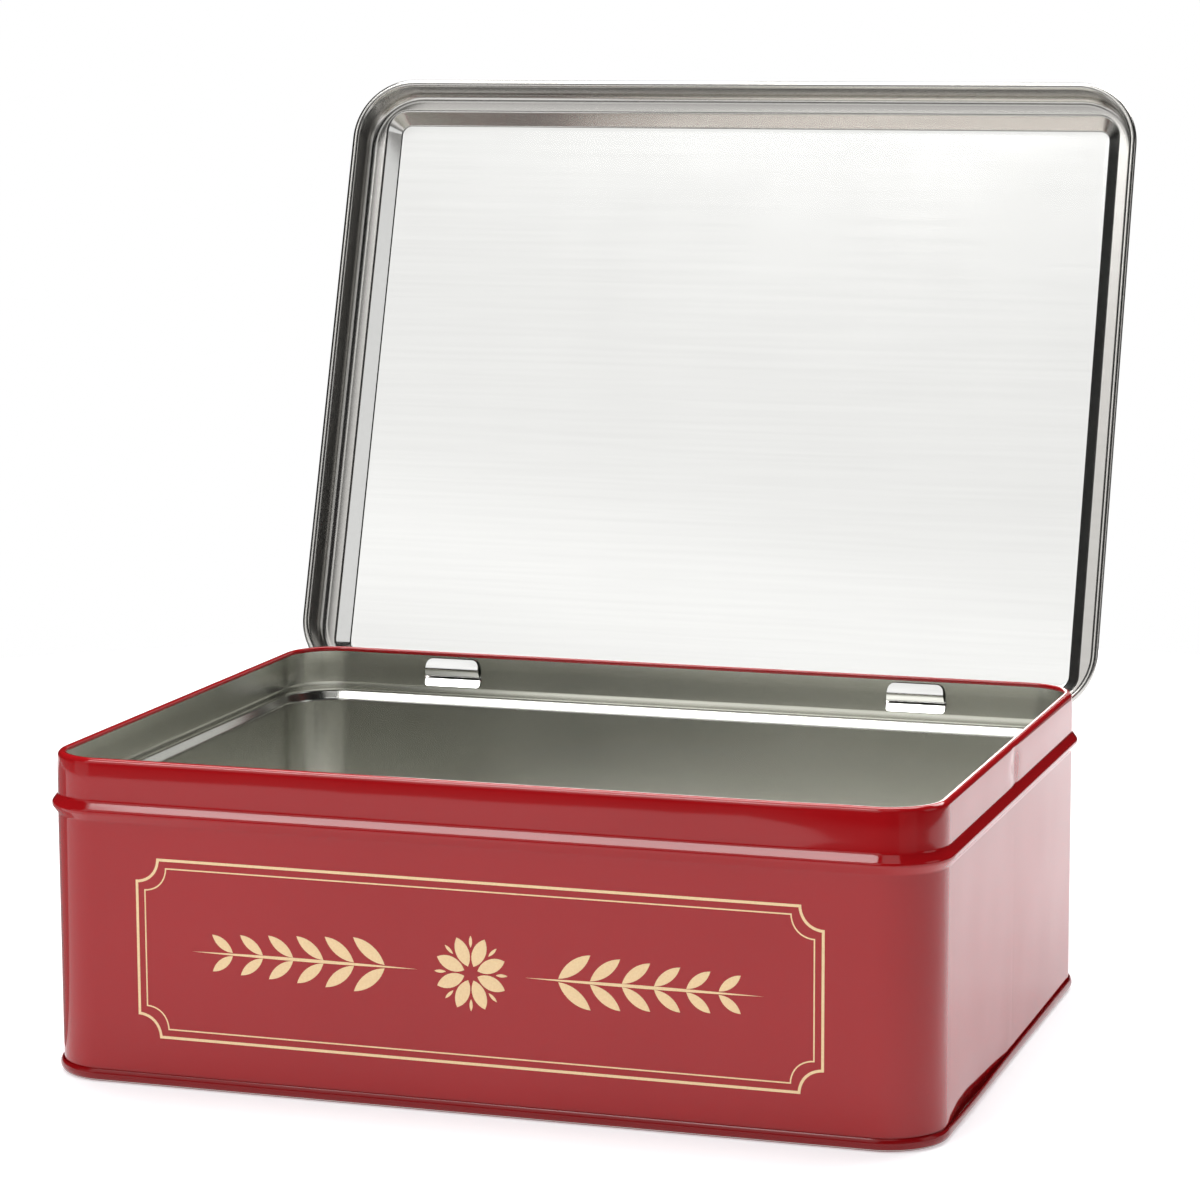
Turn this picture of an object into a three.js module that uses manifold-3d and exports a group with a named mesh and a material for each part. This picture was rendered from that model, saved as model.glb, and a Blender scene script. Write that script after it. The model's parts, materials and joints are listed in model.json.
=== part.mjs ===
// A hinged tinplate box: a folded body wall with a clenched base, and a drawn lid that turns on two straps.
// Millimetres, +Z up, +Y to the hinge. The origin is the middle of the base plate's underside.
import * as THREE from 'three';
import { mergeVertices } from 'three/addons/utils/BufferGeometryUtils.js';
import Module from 'manifold-3d';

// Box
const width = 200; // outside of the wall, left to right
const depth = 152; // outside of the wall, front to back
const rimHeight = 72; // top of the wall's rolled rim
const cornerRadius = 13; // outside of the wall, seen from above
const sheet = 0.3; // tinplate
const curlRadius = 0.9; // outside of the rolled edges of wall and lid
const curlTurn = 295; // degrees that a rolled edge is turned
const neckHeight = 11.95; // from the middle of the bead to the rim's top
const beadSpan = 4.6; // height of the bead
const beadProud = 1.3; // how far the bead stands out of the wall
const sideLap = 5; // width of the wall's lapped side joint
// Foot
const seamHeight = 3; // height of the base plate's clenched edge
const hookGap = 0.4; // above the wall's hook inside that edge
const foldGap = 0.1; // between sheets that are folded together
// Lid
const ledgeWidth = 3.7; // from the skirt's inside to the panel's step
const shoulderRadius = 2.2; // outside of the bend from skirt to ledge
const panelRise = 3.8; // panel above the ledge
const stepSlope = 53; // degrees that the step between them slopes
const stepBend = 0.8; // radius of the step's bends
const panelCorner = 2.3; // corner radius of the panel, seen from above
const lidRestGap = 0.2; // between the closed lid's ledge and the rim
const openAngle = 108; // degrees from closed to the stop
// Hinge
const strapWidth = 14.4;
const strapTaper = 0.5; // narrowing of each side to the upper clinched end
const strapSpacing = 119; // between the middles of the straps
const strapCorner = 1.6; // corner radius of the straps' ends
const runningGap = 0.3; // between lid and strap
const loopStand = 0.85; // between the strap's loop and the bead
const clinchStand = 1.4; // of the upper clinched end off the wall's inner face, at its bend
const tabStand = 0.7; // of the lower clinched end's tip off the wall's slot edge
const earLength = 1.0; // of the strap's fold under the open lid's skirt
const stopGap = 0.05; // between lid and strap fold at the stop
const leaveLoop = 37; // degrees round the loop where the strap turns out to its fold
const joinLoop = -25; // degrees round the loop where it comes back

const cornerSteps = 7;
const half = sheet / 2;
const degrees = THREE.MathUtils.degToRad;
const point = (x, y) => new THREE.Vector2(x, y);

// Points on a bend of a sheet's middle line, from one angle to another in degrees.
function bend(x, y, radius, from, to, steps) {
  const arc = new THREE.EllipseCurve(x, y, radius, radius, degrees(from), degrees(to), to < from);
  return arc.getPoints(steps);
}

// The two faces of a sheet whose middle line is given, from the line's start to its end.
function sheetFaces(line) {
  const left = [];
  const right = [];
  line.forEach((p, i) => {
    const before = line[Math.max(i - 1, 0)];
    const after = line[Math.min(i + 1, line.length - 1)];
    const a = (i > 0 ? p.clone().sub(before) : after.clone().sub(p)).normalize();
    const b = (i < line.length - 1 ? after.clone().sub(p) : a.clone()).normalize();
    const along = a.clone().add(b).normalize();
    const across = point(-along.y, along.x);
    const reach = half / along.dot(a);
    left.push(p.clone().addScaledVector(across, reach));
    right.push(p.clone().addScaledVector(across, -reach));
  });
  return { left, right };
}

// The wall's plan outline moved outwards by an offset, at one height, with a given corner radius.
function planRing(offset, z, radius) {
  const x = width / 2 + offset - radius;
  const y = depth / 2 + offset - radius;
  const corners = [[x, -y, -90], [x, y, 0], [-x, y, 90], [-x, -y, 180]];
  return corners.flatMap(([cx, cy, from]) =>
    bend(cx, cy, radius, from, from + 90, cornerSteps).map((p) => new THREE.Vector3(p.x, p.y, z)));
}

// A sheet's section, as points of offset and height, carried round the plan outline.
// An open section ends on a flat panel at both of its ends.
function carryRound(section, open, cornerAt = (p) => cornerRadius + p.x) {
  const rings = section.map((p) => planRing(p.x, p.y, cornerAt(p)));
  const count = rings[0].length;
  const positions = rings.flat().flatMap((p) => [p.x, p.y, p.z]);
  const index = [];
  const spans = open ? rings.length - 1 : rings.length;
  for (let i = 0; i < spans; i += 1) {
    const here = i * count;
    const next = ((i + 1) % rings.length) * count;
    for (let j = 0; j < count; j += 1) {
      const k = (j + 1) % count;
      index.push(here + j, here + k, next + k, here + j, next + k, next + j);
    }
  }
  if (open) {
    const first = positions.length / 3;
    const last = first + 1;
    const end = (rings.length - 1) * count;
    positions.push(0, 0, section[0].y, 0, 0, section[section.length - 1].y);
    for (let j = 0; j < count; j += 1) {
      const k = (j + 1) % count;
      index.push(first, k, j, last, end + j, end + k);
    }
  }
  const geometry = new THREE.BufferGeometry();
  geometry.setAttribute('position', new THREE.Float32BufferAttribute(positions, 3));
  geometry.setIndex(index);
  return geometry;
}

const wasm = await Module();
wasm.setup();

function solid(geometry) {
  const plain = new THREE.BufferGeometry();
  plain.setAttribute('position', geometry.getAttribute('position'));
  plain.setIndex(geometry.getIndex());
  const merged = mergeVertices(plain, 1e-5);
  return new wasm.Manifold(new wasm.Mesh({
    numProp: 3,
    vertProperties: new Float32Array(merged.getAttribute('position').array),
    triVerts: new Uint32Array(merged.getIndex().array),
  }));
}

function fromSolid(body) {
  const mesh = body.getMesh();
  const geometry = new THREE.BufferGeometry();
  geometry.setAttribute('position', new THREE.Float32BufferAttribute(mesh.vertProperties, 3));
  geometry.setIndex([...mesh.triVerts]);
  return geometry;
}

// A block between two corners.
function block(low, high) {
  const box = new THREE.BoxGeometry(high.x - low.x, high.y - low.y, high.z - low.z);
  box.translate((low.x + high.x) / 2, (low.y + high.y) / 2, (low.z + high.z) / 2);
  return solid(box);
}

function piece(name, geometry, color, roughness) {
  geometry.computeVertexNormals();
  const material = new THREE.MeshStandardMaterial({ color, roughness, metalness: 1 });
  const mesh = new THREE.Mesh(geometry, material);
  mesh.name = name;
  return mesh;
}

const strapPlaces = [['hinge_strap_left', -strapSpacing / 2], ['hinge_strap_right', strapSpacing / 2]];

// Hinge axis: the middle of the lid's rolled edge. The strap's loop runs round it, clear of wall and bead.
const loopInside = curlRadius + runningGap;
const loop = loopInside + half;
const loopOutside = loopInside + sheet;
const lidGap = foldGap + sheet + runningGap; // from the neck to the lid's skirt
const axisOffset = lidGap + curlRadius; // behind the wall's outer face
const beadHeight = rimHeight - neckHeight;
const beadRadius = ((beadSpan / 2) ** 2 + beadProud ** 2) / (2 * beadProud); // of the sheet's middle line
const beadMiddle = beadProud - half - beadRadius;
const axisReach = beadRadius + half + loopStand + loopOutside;
const axisHeight = beadHeight + Math.sqrt(axisReach ** 2 - (axisOffset - beadMiddle) ** 2);
const axisDepth = depth / 2 + axisOffset;

// Body wall: hook at the foot, wall, bead, neck and inward rolled rim, from one sheet.
const hookHeight = seamHeight - sheet - hookGap;
const hookBend = half + foldGap / 2;
const hookFoot = sheet + foldGap + half + hookBend;
const beadEnd = THREE.MathUtils.radToDeg(Math.asin(beadSpan / 2 / beadRadius));
const wallLine = [
  point(2 * hookBend - half, hookHeight),
  ...bend(hookBend - half, hookFoot, hookBend, 0, -180, 4),
  ...bend(beadMiddle, beadHeight, beadRadius, -beadEnd, beadEnd, 8),
  ...bend(-curlRadius, rimHeight - curlRadius, curlRadius - half, 0, curlTurn, 10),
];
const wallFaces = sheetFaces(wallLine);
let wall = solid(carryRound([...wallFaces.right, ...wallFaces.left.reverse()], false));

// The strip's ends are lapped and pressed flat inside the middle of the right side.
const lapOut = width / 2 - half;
wall = wall.add(block(
  new THREE.Vector3(lapOut - half - 2 * sheet, -sideLap / 2, hookFoot + hookBend),
  new THREE.Vector3(lapOut, sideLap / 2, beadHeight - beadSpan),
));

// The straps' legs pass through a slot in the neck, the lower one bent over the slot's lower edge.
const upperLeg = axisHeight + loop;
const overEdge = half + foldGap + half; // from the wall's middle to the lower leg's middle
const slotFoot = upperLeg - half - runningGap - half - overEdge;
const slotTop = upperLeg + half + foldGap;
for (const [, x] of strapPlaces) {
  wall = wall.subtract(block(
    new THREE.Vector3(x - strapWidth / 2 - runningGap, depth / 2 - 2 * sheet, slotFoot),
    new THREE.Vector3(x + strapWidth / 2 + runningGap, depth / 2 + sheet, slotTop),
  ));
}

// Base plate: a flat floor whose edge is turned up over the wall's hook and in against the wall.
const edgeMiddle = 2 * hookBend + foldGap + half;
const edgeBend = edgeMiddle - foldGap - half;
const baseLine = [
  point(foldGap, seamHeight - half),
  ...bend(edgeMiddle - edgeBend / 2, seamHeight - half - edgeBend / 2, edgeBend / 2, 90, 0, 3),
  ...bend(edgeMiddle - edgeBend, half + edgeBend, edgeBend, 0, -90, 4),
  point(-cornerRadius / 2, half),
];
const baseFaces = sheetFaces(baseLine);
const base = carryRound([...baseFaces.left.reverse(), ...baseFaces.right], true);

// Lid: outward rolled edge, skirt, shoulder, ledge and raised panel, drawn from one sheet.
// Its section is laid out closed, and the assembly turns it open.
const skirt = lidGap + half;
const ledge = rimHeight + lidRestGap + half;
const shoulder = shoulderRadius - half;
const stepStart = lidGap - ledgeWidth;
const slope = degrees(stepSlope);
const slopeRise = panelRise - 2 * stepBend * (1 - Math.cos(slope));
const panelEnd = stepStart - 2 * stepBend * Math.sin(slope) - slopeRise / Math.tan(slope);
const lidLine = [
  ...bend(axisOffset, axisHeight, curlRadius - half, curlTurn - 180, -180, 10),
  ...bend(skirt - shoulder, ledge - shoulder, shoulder, 0, 90, 4),
  ...bend(stepStart, ledge + stepBend, stepBend, -90, -90 - stepSlope, 3),
  ...bend(panelEnd, ledge + panelRise - stepBend, stepBend, 90 - stepSlope, 90, 3),
  point(panelEnd - sheet, ledge + panelRise),
];
const lidFaces = sheetFaces(lidLine);
const ledgeMiddle = (skirt - shoulder + stepStart) / 2;
const lidCorner = (p) => p.x + (p.x < ledgeMiddle ? panelCorner - panelEnd : cornerRadius);
let lid = solid(carryRound([...lidFaces.left.reverse(), ...lidFaces.right], true, lidCorner));

// A notch in the skirt beside the rolled edge lets each strap pass round that edge.
const notchTop = loopOutside + runningGap;
for (const [, x] of strapPlaces) {
  lid = lid.subtract(block(
    new THREE.Vector3(x - strapWidth / 2 - runningGap, axisDepth - curlRadius - sheet, axisHeight + half),
    new THREE.Vector3(x + strapWidth / 2 + runningGap, axisDepth - curlRadius / 2, axisHeight + notchTop),
  ));
}

// Hinge strap: a folded strip whose loop holds the lid's rolled edge. Both ends go through the slot:
// the upper one is clinched up under the rim, the lower one down. The fold stands out behind, and
// the open lid's skirt rests on it.
const clinchTop = rimHeight - 2 * curlRadius - 2 * foldGap;
const clinchBend = upperLeg + (clinchTop - upperLeg) * 0.4;
const clinchFoot = beadHeight + beadSpan / 2 - sheet;
const tilt = degrees(openAngle - 90);
// A point behind the axis: along the open lid's skirt, and up from it.
const behind = (s, n) => point(
  axisOffset + s * Math.cos(tilt) + n * Math.sin(tilt),
  axisHeight - s * Math.sin(tilt) + n * Math.cos(tilt),
);
const corner = (a, b, c, steps) => new THREE.QuadraticBezierCurve(a, b, c).getPoints(steps);
const onLoop = (angle) => behind(loop * Math.cos(degrees(angle)), loop * Math.sin(degrees(angle)));
const upperFold = curlRadius - sheet - stopGap - half;
const lowerFold = upperFold - sheet - foldGap;
const foldBend = (sheet + foldGap) / 2;
const foldEnd = notchTop + earLength - half - foldBend;
// Where a tangent to the loop at an angle crosses a level of the fold.
const meet = (angle, n) => behind(
  (loop - n * Math.sin(degrees(angle))) / Math.cos(degrees(angle)),
  n,
);
const strapLine = [
  point(-sheet - clinchStand * 0.25, clinchTop),
  ...corner(
    point(-sheet - clinchStand * 0.75, clinchBend + (clinchTop - clinchBend) * 0.33),
    point(-sheet - clinchStand, clinchBend),
    point(-sheet - clinchStand * 0.75, clinchBend - (clinchBend - upperLeg) * 0.38),
    3,
  ),
  ...corner(
    point(-sheet - clinchStand * 0.45, clinchBend - (clinchBend - upperLeg) * 0.84),
    point(-sheet - clinchStand * 0.34, upperLeg),
    point(0, upperLeg),
    4,
  ),
  ...bend(axisOffset, axisHeight, loop, 90, leaveLoop + 90 - openAngle, 5),
  ...corner(onLoop(leaveLoop), meet(leaveLoop, upperFold), behind(notchTop, upperFold), 4).slice(1),
  ...bend(0, 0, foldBend, 90, -90, 4).map((p) => behind(foldEnd + p.x, (upperFold + lowerFold) / 2 + p.y)),
  ...corner(behind(notchTop, lowerFold), meet(joinLoop, lowerFold), onLoop(joinLoop), 4),
  ...bend(axisOffset, axisHeight, loop, joinLoop + 90 - openAngle, -180, 7).slice(1),
  ...bend(-half, slotFoot, overEdge, 0, 180, 6),
  point(-half - overEdge - tabStand, clinchFoot),
];
const strapFaces = sheetFaces(strapLine);
const strapSection = new THREE.Shape([...strapFaces.right, ...strapFaces.left.reverse()]);
const strapAcross = new THREE.ExtrudeGeometry(strapSection, { depth: strapWidth, bevelEnabled: false });
strapAcross.translate(0, 0, -strapWidth / 2);
strapAcross.applyMatrix4(new THREE.Matrix4().makeBasis(
  new THREE.Vector3(0, 1, 0),
  new THREE.Vector3(0, 0, 1),
  new THREE.Vector3(1, 0, 0),
));
strapAcross.translate(0, depth / 2, 0);

// The strip's own outline, seen from the front: tapered and rounded at the upper end.
const strapFoot = axisHeight - loopOutside;
const footCorner = strapCorner / 2;
const footSide = strapWidth / 2 - footCorner;
const topSide = strapWidth / 2 - strapTaper - strapCorner;
const blank = new THREE.Shape([
  ...bend(-footSide, strapFoot + footCorner, footCorner, -180, -90, 4),
  ...bend(footSide, strapFoot + footCorner, footCorner, -90, 0, 4),
  point(strapWidth / 2, slotTop),
  ...bend(topSide, clinchTop - strapCorner, strapCorner, 0, 90, 4),
  ...bend(-topSide, clinchTop - strapCorner, strapCorner, 90, 180, 4),
  point(-strapWidth / 2, slotTop),
]);
const blankReach = 2 * (axisOffset + notchTop + earLength + clinchStand);
const blankAcross = new THREE.ExtrudeGeometry(blank, { depth: blankReach, bevelEnabled: false });
blankAcross.rotateX(Math.PI / 2);
blankAcross.translate(0, depth / 2 + blankReach / 2, 0);
const strap = solid(strapAcross).intersect(solid(blankAcross));

// Assembly
const tin = new THREE.Group();
tin.add(piece('body_wall', fromSolid(wall), 0xa2262b, 0.25));
tin.add(piece('base_plate', base, 0x9c2227, 0.3));
for (const [name, x] of strapPlaces) {
  const mesh = piece(name, fromSolid(strap), 0xd8d9d4, 0.2);
  mesh.position.x = x;
  tin.add(mesh);
}
const hinge = new THREE.Group();
hinge.position.set(0, axisDepth, axisHeight);
hinge.rotation.x = -degrees(openAngle);
const lidMesh = piece('lid_shell', fromSolid(lid), 0xc9cbc6, 0.2);
lidMesh.position.set(0, -axisDepth, -axisHeight);
hinge.add(lidMesh);
tin.add(hinge);

export default tin;
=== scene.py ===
# A hinged tin: a red lacquered tinplate box and its bare tinplate lid, open on two strap hinges.
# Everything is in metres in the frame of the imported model, with +Z up and +Y to the hinge.
import json
import math

import bmesh
import bpy
from mathutils import Matrix, Vector


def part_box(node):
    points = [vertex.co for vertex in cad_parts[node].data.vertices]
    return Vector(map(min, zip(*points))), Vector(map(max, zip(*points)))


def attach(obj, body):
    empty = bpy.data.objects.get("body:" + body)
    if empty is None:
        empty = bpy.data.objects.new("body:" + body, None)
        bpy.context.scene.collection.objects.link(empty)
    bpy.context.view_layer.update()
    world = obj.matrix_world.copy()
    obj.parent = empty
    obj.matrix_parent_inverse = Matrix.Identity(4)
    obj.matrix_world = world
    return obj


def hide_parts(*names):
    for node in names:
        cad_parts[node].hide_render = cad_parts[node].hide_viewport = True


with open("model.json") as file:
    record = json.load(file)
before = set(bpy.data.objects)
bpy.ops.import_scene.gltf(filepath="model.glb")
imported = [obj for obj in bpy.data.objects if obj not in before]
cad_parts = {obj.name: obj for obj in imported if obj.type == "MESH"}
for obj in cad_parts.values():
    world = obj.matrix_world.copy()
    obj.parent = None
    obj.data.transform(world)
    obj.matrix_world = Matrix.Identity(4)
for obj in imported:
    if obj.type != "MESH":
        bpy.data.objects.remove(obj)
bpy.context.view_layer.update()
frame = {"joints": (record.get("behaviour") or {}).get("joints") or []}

# Body wall: one strip of tinplate, lacquered red outside and varnished inside, bent to a rounded
# rectangle. The foot is hooked into the base plate's edge, a bead is rolled in below the neck, and
# the rim is curled inwards. The strip's ends are lapped in the middle of the right side.
MM = 0.001
sheet = 0.3 * MM
corner_radius = 13 * MM
bead_proud = 1.3 * MM
bead_slope = 36  # degrees that the bead's flanks lean out
bead_tip = 1.0 * MM
bead_fillet = 1.4 * MM
neck_height = 11.6 * MM  # from the middle of the bead to the rim's top
neck_bow = 45 * MM  # radius in which the neck's upper part bends in a little
bow_foot = 67 * MM
rim_shoulder = 1.2 * MM
rim_flat = 0.15 * MM  # width of the rim's top
rim_fall = 4  # degrees that this flat top falls to the outside
rim_roll = 0.45 * MM
hook_top = 1.2 * MM
hook_foot = 0.75 * MM
hook_bend = 0.2 * MM
rim_turn = 205  # degrees that the rim's curl goes round
wall_lines = [4 * MM, 8 * MM, 20 * MM, 40 * MM]  # heights at which the mesh is divided
wall_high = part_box("body_wall")[1]
half_width = wall_high[0] - bead_proud
half_depth = wall_high[1] - bead_proud
rim_height = wall_high[2]
corner_x = half_width - corner_radius
corner_y = half_depth - corner_radius
bead_height = rim_height - neck_height


def section_point(offset, height):
    """A point of a sheet's section: out from the wall's outer face at the front, and up."""
    return Vector((corner_x, -half_depth - offset, height))


def start_sheet(name, offset, height):
    """Starts a sheet as the one point where its section begins, and returns that point."""
    tip = section_point(offset, height)
    bpy.ops.object.select_all(action="DESELECT")
    bpy.ops.mesh.primitive_plane_add(size=sheet, location=tip)
    bpy.context.object.name = name
    bpy.ops.object.transform_apply()
    bpy.ops.object.mode_set(mode="EDIT")
    bpy.ops.mesh.select_mode(type="VERT")
    bpy.ops.mesh.select_all(action="SELECT")
    bpy.ops.mesh.merge(type="CENTER")
    return tip


def pull(tip, offset, height):
    """Pulls the section straight to a new point."""
    end = section_point(offset, height)
    bpy.ops.mesh.extrude_region_move(TRANSFORM_OT_translate={"value": end - tip})
    return end


def roll(tip, offset, height, turn, steps):
    """Rolls the section round a centre. A positive turn, in degrees, goes from outwards to upwards."""
    centre = section_point(offset, height)
    bpy.ops.mesh.spin(steps=steps, angle=math.radians(turn), center=centre, axis=(1, 0, 0))
    return centre + Matrix.Rotation(-math.radians(turn), 3, "X") @ (tip - centre)


corner_steps = 24
merge_gap = 0.001 * MM


def carry_round(right_stops=(), back_stops=(), front_stops=(), corner=corner_radius):
    """Spins the drawn section round each corner and pulls it along each side, stopping on the way."""
    x, y = half_width - corner, half_depth - corner
    bpy.ops.mesh.select_all(action="SELECT")
    bpy.ops.transform.translate(value=(x - corner_x, 0, 0))
    across, along = Vector((1, 0, 0)), Vector((0, 1, 0))
    sides = (
        (Vector((x, -y, 0)), along, (*right_stops, y)),
        (Vector((x, y, 0)), across, (*back_stops, -x)),
        (Vector((-x, y, 0)), along, (-y,)),
        (Vector((-x, -y, 0)), across, (*front_stops, x)),
    )
    for middle, way, stops in sides:
        bpy.ops.mesh.spin(steps=corner_steps, angle=-math.pi / 2, center=middle, axis=(0, 0, 1))
        here = middle.dot(way)
        for stop in stops:
            bpy.ops.mesh.extrude_region_move(TRANSFORM_OT_translate={"value": way * (stop - here)})
            here = stop
    bpy.ops.mesh.select_all(action="SELECT")
    bpy.ops.mesh.remove_doubles(threshold=merge_gap)
    bpy.ops.mesh.normals_make_consistent(inside=False)


def pick(kind, test):
    """Selects the vertices, edges or faces of the open mesh whose middle passes a test."""
    bpy.ops.mesh.select_mode(type=kind)
    bpy.ops.mesh.select_all(action="DESELECT")
    mesh = bmesh.from_edit_mesh(bpy.context.edit_object.data)
    parts = {"VERT": mesh.verts, "EDGE": mesh.edges, "FACE": mesh.faces}[kind]
    for part in parts:
        corners = [part] if kind == "VERT" else part.verts
        part.select = test(sum((v.co for v in corners), Vector()) / len(corners))
    mesh.select_flush_mode()
    bmesh.update_edit_mesh(bpy.context.edit_object.data)


def thicken(*finishes):
    """Gives the open sheet its thickness, half to each side. Finishes go outside, inside, in turn."""
    bpy.ops.object.mode_set(mode="OBJECT")
    piece = bpy.context.object
    for finish in finishes:
        piece.data.materials.append(finish)
    gauge = piece.modifiers.new("gauge", "SOLIDIFY")
    gauge.thickness = sheet
    gauge.offset = 0
    gauge.use_even_offset = True
    gauge.material_offset = 1
    gauge.material_offset_rim = 1
    bpy.ops.object.modifier_apply(modifier=gauge.name)
    bpy.ops.object.shade_smooth_by_angle(angle=math.radians(35))
    return piece


def linear(code):
    """The linear colour of an sRGB hex code."""
    parts = (int(code[i:i + 2], 16) / 255 for i in (1, 3, 5))
    return (*((p / 12.92 if p <= 0.04045 else ((p + 0.055) / 1.055) ** 2.4) for p in parts), 1)


def add_node(tree, kind, settings=None, values=None, links=None):
    """Adds a node with its settings, its sockets' values and the links into its sockets."""
    node = tree.nodes.new(kind)
    for name, value in (settings or {}).items():
        setattr(node, name, value)
    for name, value in (values or {}).items():
        node.inputs[name].default_value = value
    for name, source in (links or {}).items():
        tree.links.new(source, node.inputs[name])
    return node


def new_finish(name):
    """An empty material, with its tree, its Principled shader and the object's own coordinates."""
    finish = bpy.data.materials.new(name)
    finish.use_nodes = True
    tree = finish.node_tree
    place = add_node(tree, "ShaderNodeTexCoord").outputs["Object"]
    return finish, tree, tree.nodes["Principled BSDF"], place


def new_lacquer(name, dark, light, sharp, soft, ior):
    """Lacquer on sheet that is never quite flat: a cloudy colour, and a mirror that wavers slowly."""
    finish, tree, shader, place = new_finish(name)
    cloud = add_node(
        tree, "ShaderNodeTexNoise", {}, {"Scale": 1 / (45 * MM), "Detail": 3}, {"Vector": place}
    )
    red = add_node(
        tree, "ShaderNodeMix", {"data_type": "RGBA"},
        {"A": linear(dark), "B": linear(light)}, {"Factor": cloud.outputs["Fac"]},
    )
    tree.links.new(red.outputs["Result"], shader.inputs["Base Color"])
    haze = add_node(
        tree, "ShaderNodeTexNoise", {}, {"Scale": 1 / (9 * MM), "Detail": 4}, {"Vector": place}
    )
    gloss = add_node(
        tree, "ShaderNodeMapRange", {}, {"To Min": sharp, "To Max": soft}, {"Value": haze.outputs["Fac"]}
    )
    tree.links.new(gloss.outputs["Result"], shader.inputs["Roughness"])
    waver = add_node(
        tree, "ShaderNodeTexNoise", {}, {"Scale": 1 / (38 * MM), "Detail": 1}, {"Vector": place}
    )
    swell = add_node(
        tree, "ShaderNodeBump", {}, {"Strength": 0.35, "Distance": 1 * MM},
        {"Height": waver.outputs["Fac"]},
    )
    tree.links.new(swell.outputs["Normal"], shader.inputs["Normal"])
    shader.inputs["IOR"].default_value = ior
    return finish


# Red roller-coated lacquer under clear varnish, stoved on the flat sheet, is glossy and mirrors the
# floor.
# The base's red is darker and less glossy; the darker red is painted shade at the tin's foot.
red_lacquer = new_lacquer("red_stoving_lacquer", "#960C11", "#A01419", 0.06, 0.1, 1.44)
painted_shade_lacquer = new_lacquer("red_lacquer_painted_foot_shade", "#7C080D", "#860C11", 0.14, 0.2, 1.4)


def new_tinplate(name, dark, light, sharp, soft, metal):
    """Steel sheet with a bright tin coat: streaked along the rolling direction, marked by handling."""
    finish, tree, shader, place = new_finish(name)
    rolling = add_node(
        tree, "ShaderNodeMapping", {}, {"Scale": (1 / (60 * MM), 1 / (1.2 * MM), 1 / (1.2 * MM))},
        {"Vector": place},
    )
    streak = add_node(
        tree, "ShaderNodeTexNoise", {}, {"Scale": 1, "Detail": 5}, {"Vector": rolling.outputs["Vector"]}
    )
    grey = add_node(
        tree, "ShaderNodeMix", {"data_type": "RGBA"},
        {"A": linear(dark), "B": linear(light)}, {"Factor": streak.outputs["Fac"]},
    )
    tree.links.new(grey.outputs["Result"], shader.inputs["Base Color"])
    handling = add_node(
        tree, "ShaderNodeTexNoise", {}, {"Scale": 1 / (25 * MM), "Detail": 5}, {"Vector": place}
    )
    blur = add_node(
        tree, "ShaderNodeMapRange", {}, {"To Min": sharp, "To Max": soft},
        {"Value": handling.outputs["Fac"]},
    )
    tree.links.new(blur.outputs["Result"], shader.inputs["Roughness"])
    scratch = add_node(
        tree, "ShaderNodeBump", {}, {"Strength": 0.0015, "Distance": 0.05 * MM},
        {"Height": streak.outputs["Fac"]},
    )
    tree.links.new(scratch.outputs["Normal"], shader.inputs["Normal"])
    shader.inputs["Metallic"].default_value = metal
    return finish


# Bare tinplate is a clear grey mirror with fine streaks. It is rougher on the lid's border and front
# slope, where the sheet was drawn, and darker grey there, which is painted shade.
# Inside the wall it is varnished, which softens what it mirrors, and on the base the varnish is thick
# and matt.
bare_tinplate = new_tinplate("bare_bright_tinplate", "#DCDCDA", "#E4E4E2", 0.11, 0.16, 1)
dull_tinplate_painted_shade = new_tinplate("dull_tinplate_painted_shade", "#B6B4B0", "#BEBCB8", 0.2, 0.26, 1)
varnished_tinplate = new_tinplate("varnished_tinplate", "#C2C2BC", "#CACAC4", 0.18, 0.26, 1)
matt_tinplate = new_tinplate("matt_varnished_tinplate", "#D6D6D0", "#DEDED8", 0.4, 0.55, 0.45)

strap_gap = 0.3 * MM
strap_sides = []
for strap_name in ("hinge_strap_right", "hinge_strap_left"):
    strap_low, strap_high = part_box(strap_name)
    strap_sides += [strap_high[0] + strap_gap, strap_low[0] - strap_gap]
axis_depth, axis_height = frame["joints"][0]["pos_m"][1:]
slot_foot = axis_height + 0.35 * MM
slot_top = axis_height + 1.6 * MM

half = sheet / 2
lean = math.radians(bead_slope)
bent_out = (bead_tip + bead_fillet) * (1 - math.cos(lean))
bead_half = (bead_tip + bead_fillet) * math.sin(lean) + (bead_proud - bent_out) / math.tan(lean)
tip_middle = bead_proud - half - bead_tip
fillet_middle = bead_fillet - half
flank = (tip_middle + bead_tip * math.cos(lean), bead_tip * math.sin(lean))
flank_end = (fillet_middle - bead_fillet * math.cos(lean), bead_half - bead_fillet * math.sin(lean))

tip = start_sheet("tin_wall", 2 * hook_bend - half, hook_top)
tip = pull(tip, 2 * hook_bend - half, hook_foot)
tip = roll(tip, hook_bend - half, hook_foot, -180, 6)
for height in (*wall_lines, bead_height - bead_half):
    tip = pull(tip, -half, height)
tip = roll(tip, fillet_middle, bead_height - bead_half, -bead_slope, 6)
tip = pull(tip, flank[0], bead_height - flank[1])
tip = roll(tip, tip_middle, bead_height, 2 * bead_slope, 10)
tip = pull(tip, flank_end[0], bead_height + flank_end[1])
tip = roll(tip, fillet_middle, bead_height + bead_half, -bead_slope, 6)
for height in (slot_foot, slot_top, bow_foot):
    tip = pull(tip, -half, height)
fall = math.radians(rim_fall)
shoulder_radius = rim_shoulder - half
shoulder_height = rim_height - half - rim_flat * math.tan(fall) - shoulder_radius * math.cos(fall)
bow = math.asin((shoulder_height - bow_foot) / (neck_bow - shoulder_radius))
shoulder_offset = (neck_bow - shoulder_radius) * math.cos(bow) - neck_bow - half
flat_end = shoulder_offset + shoulder_radius * math.sin(fall) - rim_flat
tip = roll(tip, -half - neck_bow, bow_foot, math.degrees(bow), 8)
tip = roll(tip, shoulder_offset, shoulder_height, 90 - rim_fall - math.degrees(bow), 9)
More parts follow.
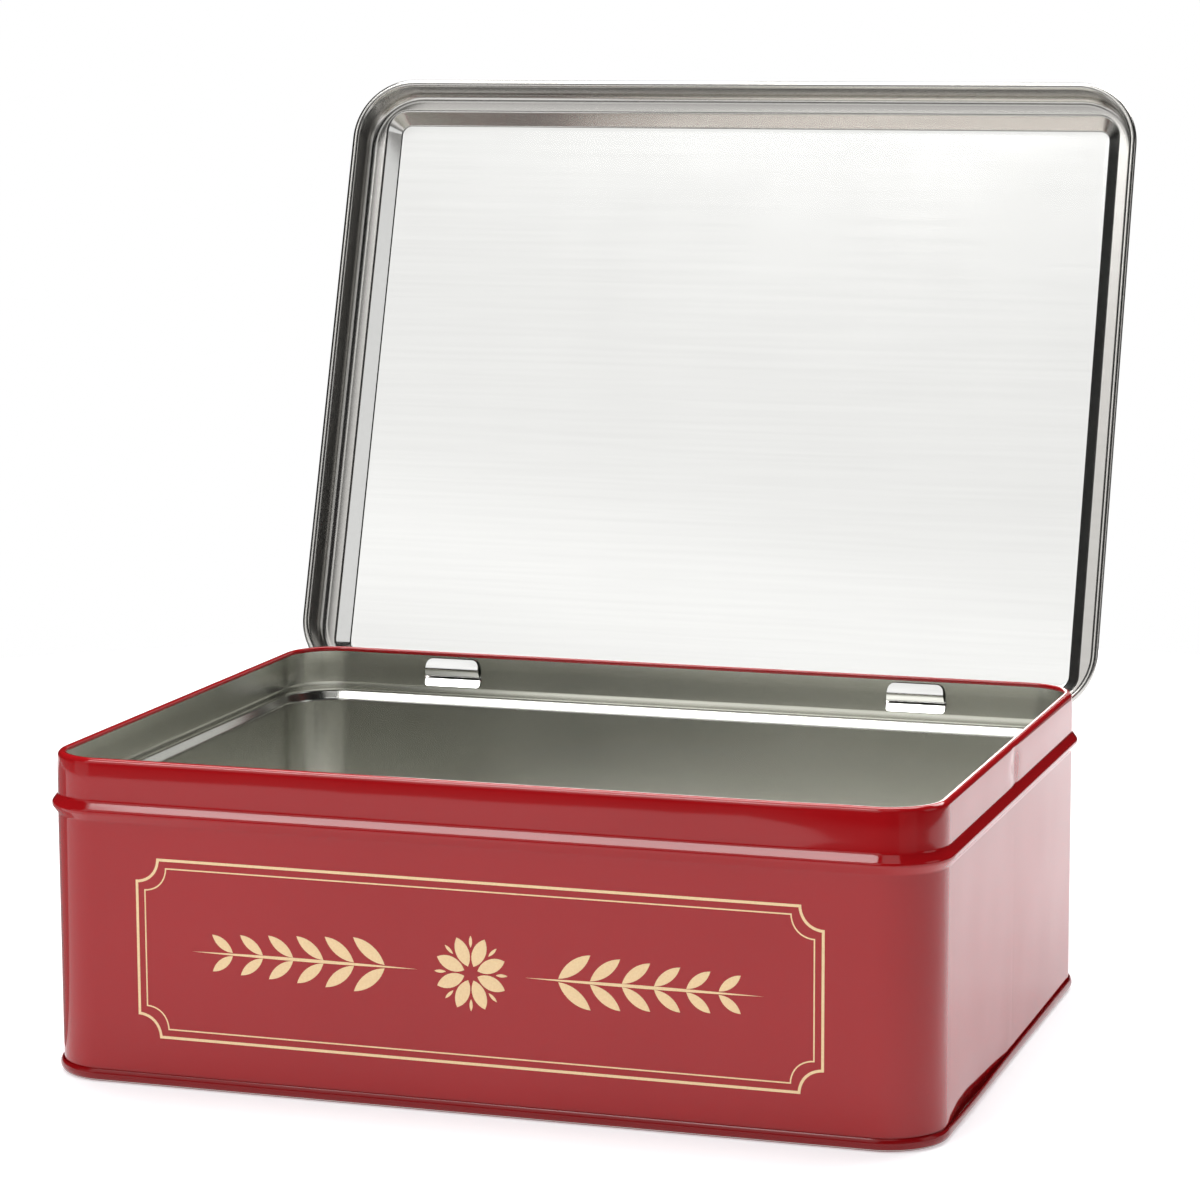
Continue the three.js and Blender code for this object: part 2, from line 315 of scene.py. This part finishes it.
tip = pull(tip, flat_end, rim_height - half)
tip = roll(tip, flat_end, rim_height - half - rim_roll, rim_turn, 16)

# Places in millimetres along the right side and the front, where the sheet is divided for its dents.
lap_stops = [-62, -60, -52, -44, -34, -22, -9, -5, -3, -1.5, -0.6, 0, 0.6, 1.5, 3, 5, 9, 16]
corner_stops = [0, 20, 35, 50, 60, 70, 79]
carry_round([y * MM for y in lap_stops], strap_sides, [x * MM for x in corner_stops])


def at_strap(at):
    """True on the back, across the room that one of the two hinge straps needs."""
    return at.y > corner_y and any(a > at.x > b for a, b in zip(strap_sides[::2], strap_sides[1::2]))


pick("FACE", lambda at: at_strap(at) and slot_foot < at.z < slot_top)
bpy.ops.mesh.delete(type="FACE")

# The lap shows as a hair line down the right side and as a dent where it was pressed at the neck.
lap_width = 0.3 * MM
lap_foot, lap_top, lap_depth = 4 * MM, 55 * MM, 0.015 * MM
dent_foot, dent_top, dent_depth, dent_reach = 65 * MM, 67.5 * MM, 0.35 * MM, 5 * MM
pick("VERT", lambda at: at.x > corner_x and abs(at.y) < lap_width and lap_foot < at.z < lap_top)
bpy.ops.transform.translate(value=(-lap_depth, 0, 0))
pick("VERT", lambda at: at.x > corner_x and abs(at.y) < lap_width and dent_foot < at.z < dent_top)
bpy.ops.transform.translate(
    value=(-dent_depth, 0, 0), use_proportional_edit=True,
    proportional_size=dent_reach, proportional_edit_falloff="SMOOTH",
)

# The neck leans in a little beside the front right corner.
press_foot, press_left, press_right, press_front = 70 * MM, 78 * MM, 94 * MM, -72 * MM
press_move, press_reach = (-0.15 * MM, 0.6 * MM, 0), 10 * MM
pick("VERT", lambda at: at.z > press_foot and press_left < at.x < press_right and at.y < press_front)
bpy.ops.transform.translate(
    value=press_move, use_proportional_edit=True,
    proportional_size=press_reach, proportional_edit_falloff="LINEAR",
)

# Along the front half of the right side the wall's foot is pressed in, away from the base's ridge.
gape = {-60: 0.1, -52: 0.5, -44: 0.7, -34: 0.6, -22: 0.4, -9: 0.15}  # millimetres, by place
gape_top = 5 * MM
near = 0.1 * MM
for y, open_by in gape.items():
    pick("VERT", lambda at: at.x > corner_x and abs(at.y - y * MM) < near and at.z < gape_top)
    bpy.ops.transform.translate(value=(-open_by * MM, 0, 0))
tin_wall = thicken(red_lacquer, varnished_tinplate)
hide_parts("body_wall")
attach(tin_wall, "body")

# Gold print on the front wall: a double keyline with hollow corners round a rosette and two sprays
# of leaves, printed in one layer of pale ink over the lacquer.
# The ink is flat and slightly grainy, between gold and cream, and less glossy than the lacquer.
gold_ink, tree, shader, place = new_finish("pale_gold_ink")
grain = add_node(
    tree, "ShaderNodeTexNoise", {}, {"Scale": 1 / (0.5 * MM), "Detail": 3}, {"Vector": place}
)
gold = add_node(
    tree, "ShaderNodeMix", {"data_type": "RGBA"},
    {"A": linear("#E2BE8B"), "B": linear("#F6DDB0")}, {"Factor": grain.outputs["Fac"]},
)
tree.links.new(gold.outputs["Result"], shader.inputs["Base Color"])
shader.inputs["Roughness"].default_value = 0.42

ink = 0.02 * MM
print_height = 31 * MM
keylines = ((154 * MM, 40 * MM, 0.6 * MM), (150 * MM, 36 * MM, 0.3 * MM))  # width, height, line
keyline_corner = 5 * MM
corner_hollow = 0.08  # bevel profile that makes the corners hollow
petals = 8
leaves = 6  # pairs on each stem
leaf_first, leaf_step = 19 * MM, 7 * MM
leaf_length, leaf_width, leaf_lift = 9 * MM, 2.8 * MM, 38
print_face = Vector((0, -half_depth, print_height))
prints = []


def print_layer():
    """Ends a shape of the print: gives the flat outline its layer of ink and keeps the shape."""
    bpy.ops.mesh.select_all(action="SELECT")
    bpy.ops.mesh.extrude_region_move(TRANSFORM_OT_translate={"value": (0, -ink, 0)})
    bpy.ops.mesh.select_all(action="SELECT")
    bpy.ops.mesh.normals_make_consistent(inside=False)
    bpy.ops.object.mode_set(mode="OBJECT")
    prints.append(bpy.context.object)


for line_width, line_height, line in keylines:
    bpy.ops.object.select_all(action="DESELECT")
    bpy.ops.mesh.primitive_plane_add(size=1, location=print_face, rotation=(math.pi / 2, 0, 0))
    bpy.context.object.name = "keyline"
    bpy.ops.object.transform_apply()
    bpy.ops.object.mode_set(mode="EDIT")
    bpy.ops.mesh.select_mode(type="VERT")
    bpy.ops.mesh.select_all(action="SELECT")
    bpy.ops.transform.resize(value=(line_width, 1, line_height), center_override=print_face)
    bpy.ops.mesh.bevel(affect="VERTICES", offset=keyline_corner, segments=10, profile=corner_hollow)
    bpy.ops.mesh.select_mode(type="FACE")
    bpy.ops.mesh.select_all(action="SELECT")
    bpy.ops.mesh.inset(thickness=line)
    bpy.ops.mesh.delete(type="FACE")
    print_layer()


def print_leaf(name, length, width, reach, turn, middle):
    """Prints one pointed leaf that lies out from a middle point by a reach, at a turn in degrees."""
    radius = (length ** 2 / 4 + width ** 2 / 4) / width
    arc = 2 * math.asin(length / 2 / radius)
    bpy.ops.object.select_all(action="DESELECT")
    bpy.ops.mesh.primitive_plane_add(size=ink, location=middle + Vector((reach, 0, 0)))
    bpy.context.object.name = name
    bpy.ops.object.transform_apply()
    bpy.ops.object.mode_set(mode="EDIT")
    bpy.ops.mesh.select_mode(type="VERT")
    bpy.ops.mesh.select_all(action="SELECT")
    bpy.ops.mesh.merge(type="CENTER")
    for side in (-1, 1):
        arc_middle = middle + Vector((reach + length / 2, 0, side * (radius - width / 2)))
        bpy.ops.mesh.spin(steps=10, angle=-arc, center=arc_middle, axis=(0, 1, 0))
    bpy.ops.mesh.select_all(action="SELECT")
    bpy.ops.mesh.remove_doubles(threshold=merge_gap)
    bpy.ops.mesh.edge_face_add()
    bpy.ops.transform.rotate(value=math.radians(turn), orient_axis="Y", center_override=middle)
    print_layer()


petal_turn = 360 / petals
for petal in range(petals):
    print_leaf("petal", 6.6 * MM, 3 * MM, 1.6 * MM, petal_turn * (petal + 0.5), print_face)
for petal in range(petals):
    print_leaf("stamen", 2.6 * MM, 0.7 * MM, 5.6 * MM, petal_turn * petal, print_face)
for side in (0, 180):
    print_leaf("stem", 52 * MM, 0.7 * MM, 12 * MM, side, print_face)
    out = Vector((math.cos(math.radians(side)), 0, 0))
    for leaf in range(leaves):
        root = print_face + out * (leaf_first + leaf_step * leaf)
        length, width = leaf_length - 0.6 * MM * leaf, leaf_width - 0.15 * MM * leaf
        for lift in (-leaf_lift, leaf_lift):
            print_leaf("leaf", length, width, 0.6 * MM, side + lift, root)
bpy.ops.object.select_all(action="DESELECT")
for shape in prints:
    shape.select_set(True)
bpy.context.view_layer.objects.active = prints[0]
bpy.ops.object.join()
gold_print = bpy.context.object
gold_print.name = "gold_print"
gold_print.data.materials.append(gold_ink)
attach(gold_print, "body")

# Base plate: a flat tinplate floor, red outside and varnished inside. Its edge is turned up over the
# wall's hook and clenched in against the wall, which makes the ridge round the foot.
seam_height = 3 * MM
seam_proud = 0.8 * MM
seam_over = math.radians(40)  # the ridge's round face, above its middle
seam_under = math.radians(80)  # and below it
ridge_edge = 2.2 * MM  # height above which the ridge can stand off the wall
floor_edge = 6 * MM
base_stops = [-62, *gape, 5]  # millimetres along the right side
fold_gap = 0.1 * MM
seam_radius = (seam_height - sheet) / (math.sin(seam_over) + math.sin(seam_under))
seam_middle = seam_proud - half - seam_radius
seam_edge = seam_middle + seam_radius * math.cos(seam_over)
tip = start_sheet("tin_base", seam_edge, seam_height - half)
seam_centre = seam_height - half - seam_radius * math.sin(seam_over)
tip = roll(tip, seam_middle, seam_centre, -math.degrees(seam_over + seam_under), 16)
tip = pull(tip, -corner_radius / 2, half)
carry_round([y * MM for y in base_stops])

# Where the wall's foot is pressed in, the ridge's upper edge stands off it as well.
for y, open_by in gape.items():
    pick("VERT", lambda at: at.x > corner_x and abs(at.y - y * MM) < near and at.z > ridge_edge)
    bpy.ops.transform.translate(value=(open_by / 2 * MM, 0, 0))
floor_x, floor_y = half_width - floor_edge, half_depth - floor_edge
pick("EDGE", lambda at: at.z < sheet and abs(at.x) < floor_x and abs(at.y) < floor_y)
bpy.ops.mesh.edge_face_add()
bpy.ops.mesh.select_all(action="SELECT")
bpy.ops.mesh.normals_make_consistent(inside=False)
# The first two finishes are the floor's outside and inside, the others the ridge's. The ridge's dark red
# is painted shade.
for finish in (painted_shade_lacquer, matt_tinplate, painted_shade_lacquer, painted_shade_lacquer):
    bpy.context.object.data.materials.append(finish)
bpy.context.object.active_material_index = 2
pick("FACE", lambda at: at.z > 2 * sheet)
bpy.ops.object.material_slot_assign()
tin_base = thicken()
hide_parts("base_plate")
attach(tin_base, "body")

# Hinge straps: narrow strips of bare tinplate, folded round the lid's rolled edge. Both ends pass
# through the slot in the neck. The upper one is clinched up under the rim, the lower one is bent
# down over the slot's edge, and the fold stands out behind as the open lid's stop.
strap_low, strap_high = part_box("hinge_strap_right")
strap_width = strap_high[0] - strap_low[0]
strap_taper = 0.5 * MM  # narrowing of each side to the upper end
strap_corner = 1.6 * MM
strap_loop = 1.35 * MM
clinch_stand = 1.7 * MM
clinch_edge = 0.65 * MM
clinch_foot = 0.45 * clinch_stand
clinch_share = 0.4  # where the clinched end is bent, as a share of its height
clinch_round = 0.6 * MM
tab_stand = 0.9 * MM
tab_lean = 19  # degrees
fold_lean = math.radians(18)  # slope of the open lid's skirt down to the back
fold_reach = 2.45 * MM
fold_rise = 0.2 * MM
fold_bend = half + fold_gap / 2
fold_near = 0.02 * MM
axis_offset = axis_depth - half_depth
upper_leg = axis_height + strap_loop
clinch_top = strap_high[2]
clinch_bend = upper_leg + clinch_share * (clinch_top - upper_leg)
tab_end = -sheet - fold_gap - half - tab_stand
tab_foot = slot_foot - 1.4 * MM
fold_offset = axis_offset + fold_reach * math.cos(fold_lean) + fold_rise * math.sin(fold_lean)
fold_height = axis_height - fold_reach * math.sin(fold_lean) + fold_rise * math.cos(fold_lean)
upper_turn = 71  # degrees round the loop, from its top to the fold
lower_turn = 137  # degrees round the loop, from the fold to the slot

tip = start_sheet("strap_right", -clinch_edge, clinch_top)
tip = pull(tip, -clinch_stand, clinch_bend)
tip = pull(tip, -clinch_foot, upper_leg)
tip = pull(tip, axis_offset, upper_leg)
tip = roll(tip, axis_offset, axis_height, -upper_turn, 7)
tip = pull(
    tip, fold_offset + fold_bend * math.sin(fold_lean), fold_height + fold_bend * math.cos(fold_lean)
)
tip = roll(tip, fold_offset, fold_height, -180, 6)
leave = math.radians(lower_turn - 180)
tip = pull(tip, axis_offset + strap_loop * math.cos(leave), axis_height + strap_loop * math.sin(leave))
tip = roll(tip, axis_offset, axis_height, -lower_turn, 12)
tip = pull(tip, axis_offset - strap_loop, slot_foot)
tip = roll(tip, -half, slot_foot, 180 - tab_lean, 10)
tip = pull(tip, tab_end, tab_foot)
bpy.ops.mesh.select_all(action="SELECT")
bpy.ops.mesh.extrude_region_move(TRANSFORM_OT_translate={"value": (-strap_width, 0, 0)})
strap_middle = corner_x - strap_width / 2


def at_fold(offset, height):
    """A test for what lies on one of the strap's fold lines."""
    fold = section_point(offset, height)
    return lambda at: math.hypot(at.y - fold.y, at.z - fold.z) < fold_near


ends = ((-clinch_edge, clinch_top, 1), (-clinch_stand, clinch_bend, clinch_share))
for offset, height, share in ends:
    pick("VERT", at_fold(offset, height))
    narrow = 1 - 2 * strap_taper * share / strap_width
    bpy.ops.transform.resize(value=(narrow, 1, 1), center_override=(strap_middle, 0, 0))
pick("VERT", at_fold(-clinch_edge, clinch_top))
bpy.ops.mesh.bevel(affect="VERTICES", offset=strap_corner, segments=6)
pick("VERT", at_fold(tab_end, tab_foot))
bpy.ops.mesh.bevel(affect="VERTICES", offset=strap_corner / 2, segments=5)
for offset, height in ((-clinch_stand, clinch_bend), (-clinch_foot, upper_leg)):
    pick("EDGE", at_fold(offset, height))
    bpy.ops.mesh.bevel(affect="EDGES", offset=clinch_round, segments=5)
bpy.ops.mesh.select_all(action="SELECT")
bpy.ops.mesh.normals_make_consistent(inside=False)
bpy.ops.transform.rotate(value=math.pi, orient_axis="Z", center_override=(strap_middle, 0, 0))
bpy.ops.transform.translate(value=((strap_low[0] + strap_high[0]) / 2 - strap_middle, 0, 0))
strap_right = thicken(bare_tinplate, bare_tinplate)
bpy.ops.object.duplicate()
strap_left = bpy.context.object
strap_left.name = "strap_left"
bpy.ops.transform.translate(value=(-strap_low[0] - strap_high[0], 0, 0))
bpy.ops.object.transform_apply()
for strap, node in ((strap_right, "hinge_strap_right"), (strap_left, "hinge_strap_left")):
    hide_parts(node)
    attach(strap, "body")

# Lid: one drawn pan of tinplate, bare inside and lacquered red outside. Its edge is rolled
# outwards, and a ledge and a sloping step lead from the skirt to the panel. A notch beside the
# rolled edge lets each strap pass round that edge. It is drawn closed and turned open.
lid_curl = 0.9 * MM
lid_gap = axis_offset - lid_curl  # from the neck to the skirt
ledge_width = 3.7 * MM
shoulder = 2.05 * MM
panel_rise = 3.8 * MM
step_slope = 53  # degrees
step_bend = 0.8 * MM
panel_corner = 2.3 * MM
lid_rest_gap = 0.2 * MM
open_angle = 108  # degrees
curl_stop = 115  # degrees round the rolled edge, from outwards, where the sheet ends
panel_margin = 1 * MM
close = 0.01 * MM
notch_foot = axis_height + half
notch_top = axis_height + 1.8 * MM
skirt = lid_gap + half
ledge = rim_height + lid_rest_gap + half
panel = ledge + panel_rise
slope = math.radians(step_slope)
step_start = lid_gap - ledge_width
slope_rise = panel_rise - 2 * step_bend * (1 - math.cos(slope))
panel_end = step_start - 2 * step_bend * math.sin(slope) - slope_rise / math.tan(slope)
curl_end = math.radians(curl_stop)
curl_middle = lid_curl - half

tip = start_sheet(
    "tin_lid",
    axis_offset + curl_middle * math.cos(curl_end), axis_height + curl_middle * math.sin(curl_end),
)
tip = roll(tip, axis_offset, axis_height, -180 - curl_stop, 24)
for height in (notch_foot, notch_top, ledge - shoulder):
    tip = pull(tip, skirt, height)
tip = roll(tip, skirt - shoulder, ledge - shoulder, 90, 9)
carry_round(back_stops=strap_sides)
pick("FACE", lambda at: at_strap(at) and notch_foot < at.z < notch_top)
bpy.ops.mesh.delete(type="FACE")
bpy.ops.object.mode_set(mode="OBJECT")
tin_lid = bpy.context.object

tip = start_sheet("lid_step", step_start, ledge)
tip = roll(tip, step_start, ledge + step_bend, -step_slope, 6)
tip = pull(
    tip, panel_end + step_bend * math.sin(slope), panel - step_bend * (1 - math.cos(slope))
)
tip = roll(tip, panel_end, panel - step_bend, step_slope, 6)
tip = pull(tip, panel_end - panel_margin, panel)
carry_round(back_stops=strap_sides, corner=panel_corner - panel_end)
panel_x = half_width + panel_end - panel_margin + close
panel_y = half_depth + panel_end - panel_margin + close
pick("EDGE", lambda at: abs(at.z - panel) < close and abs(at.x) < panel_x and abs(at.y) < panel_y)
bpy.ops.mesh.edge_face_add()
bpy.ops.object.mode_set(mode="OBJECT")
tin_lid.select_set(True)
bpy.context.view_layer.objects.active = tin_lid
bpy.ops.object.join()
bpy.ops.object.mode_set(mode="EDIT")
pick("EDGE", lambda at: abs(at.z - ledge) < merge_gap)
bpy.ops.mesh.bridge_edge_loops()
bpy.ops.mesh.select_all(action="SELECT")
bpy.ops.mesh.normals_make_consistent(inside=False)
# The first two finishes are the panel's. The others are the border's, and the front slope's; the darker
# grey inside them is painted shade.
for finish in (red_lacquer, bare_tinplate, red_lacquer, dull_tinplate_painted_shade):
    tin_lid.data.materials.append(finish)
tin_lid.active_material_index = 2
pick("FACE", lambda at: at.z < ledge + sheet or (at.z < panel - close and at.y < -panel_y))
bpy.ops.object.material_slot_assign()
bpy.ops.mesh.select_all(action="SELECT")
bpy.ops.transform.rotate(
    value=math.radians(open_angle), orient_axis="X", center_override=(0, axis_depth, axis_height)
)
thicken()
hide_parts("lid_shell")
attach(tin_lid, "lid")

# Studio: a white paper floor that glows a little, soft boxes round the tin, and a camera at the
# photograph's place. None of it is part of the tin.
bpy.ops.object.select_all(action="DESELECT")
bpy.ops.mesh.primitive_circle_add(vertices=128, radius=0.54, fill_type="NGON")
floor = bpy.context.object
floor.name = "floor"
paper, tree, shader, place = new_finish("white_paper_floor")
shader.inputs["Base Color"].default_value = linear("#D2D2D2")
shader.inputs["Roughness"].default_value = 0.9
shader.inputs["Emission Color"].default_value = linear("#FCFCFF")
shader.inputs["Emission Strength"].default_value = 0.5
floor.data.materials.append(paper)

# A card on the floor beside the tin, darker than the paper and seen only in what is glossy, keeps
# the front left corner deep red.
bpy.ops.mesh.primitive_plane_add(size=1, location=(-0.31, 0.05, 0.001))
card = bpy.context.object
card.name = "dark_card"
card.scale = (0.4, 0.22, 1)
bpy.ops.object.transform_apply()
board, tree, shader, place = new_finish("grey_card")
shader.inputs["Base Color"].default_value = linear("#808080")
shader.inputs["Roughness"].default_value = 0.9
card.data.materials.append(board)
card.visible_camera = card.visible_diffuse = card.visible_shadow = False


def add_softbox(name, stand, aim, width, height, brightness):
    """Stands a soft box of a given brightness so that it faces a point."""
    light = bpy.data.lights.new(name, "AREA")
    light.shape = "RECTANGLE"
    light.size, light.size_y = width, height
    light.energy = brightness * math.pi * width * height
    box = bpy.data.objects.new(name, light)
    bpy.context.collection.objects.link(box)
    facing = (Vector(aim) - Vector(stand)).to_track_quat("-Z", "Y").to_matrix().to_4x4()
    box.matrix_world = Matrix.Translation(stand) @ facing
    box.visible_camera = False


# Each soft box is named for what mirrors it, or for where it stands.
add_softbox("softbox_over", (-0.1, 0.35, 1.3), (0, 0.1, 0), 1.2, 0.8, 7.5)
add_softbox("softbox_bead", (-0.48, -0.75, 1.25), (0, -0.05, 0.05), 0.75, 0.45, 9)
add_softbox("softbox_lid", (-0.4, -1.0, 0.69), (0, 0.1, 0.14), 1.0, 0.8, 1.07)
add_softbox("softbox_back", (0.5, 1.0, 0.9), (0.3, 0.4, 0), 0.9, 0.5, 6.5)
add_softbox("softbox_right", (1.1, 0.0, 0.35), (0, 0, 0.15), 0.5, 0.5, 0.9)
add_softbox("softbox_corner", (0.4, -0.9, 1.3), (0, 0, 0.05), 0.6, 0.5, 1.2)
add_softbox("softbox_left_low", (-1.25, -1.1, 0.22), (0, 0.1, 0.14), 0.9, 0.8, 0.45)
add_softbox("softbox_right_low", (1.25, -1.1, 0.22), (0, 0.1, 0.14), 0.9, 0.8, 0.15)
add_softbox("softbox_panel", (-0.33, -0.86, 0.56), (0, 0.09, 0.08), 0.9, 0.08, 0.22)

# The backdrop is white to the camera. To all other rays it is dark above the horizon and dim below it.
world = bpy.data.worlds.new("studio")
bpy.context.scene.world = world
world.use_nodes = True
tree = world.node_tree
backdrop = tree.nodes["Background"]
backdrop.inputs["Color"].default_value = (1, 1, 1, 1)
way = add_node(tree, "ShaderNodeSeparateXYZ")
tree.links.new(add_node(tree, "ShaderNodeTexCoord").outputs["Generated"], way.inputs["Vector"])
ground = add_node(
    tree, "ShaderNodeMapRange", {},
    {"From Min": -0.12, "From Max": -0.02, "To Min": 0.3, "To Max": 0.012}, {"Value": way.outputs["Z"]},
)
seen = add_node(tree, "ShaderNodeLightPath")
level = add_node(
    tree, "ShaderNodeMapRange", {}, {"To Max": 1.0},
    {"Value": seen.outputs["Is Camera Ray"], "To Min": ground.outputs["Result"]},
)
tree.links.new(level.outputs["Result"], backdrop.inputs["Strength"])
bpy.context.scene.view_settings.view_transform = "Standard"

camera = bpy.data.objects.new("camera", bpy.data.cameras.new("camera"))
bpy.context.collection.objects.link(camera)
look_round, look_down, tilt = math.radians(-18.135), math.radians(9.002), math.radians(-0.22)
aim = Vector((4.096, 0, 99.405)) * MM
camera_distance = 876.758 * MM
focal_pixels, image_pixels = 3875.755, 1200
turned = (
    Matrix.Rotation(-look_round, 4, "Z") @ Matrix.Rotation(math.pi / 2 - look_down, 4, "X")
    @ Matrix.Rotation(tilt, 4, "Z")
)
camera.matrix_world = Matrix.Translation(aim) @ turned @ Matrix.Translation((0, 0, camera_distance))
camera.data.sensor_width = 36
camera.data.lens = camera.data.sensor_width * focal_pixels / image_pixels
bpy.context.scene.camera = camera
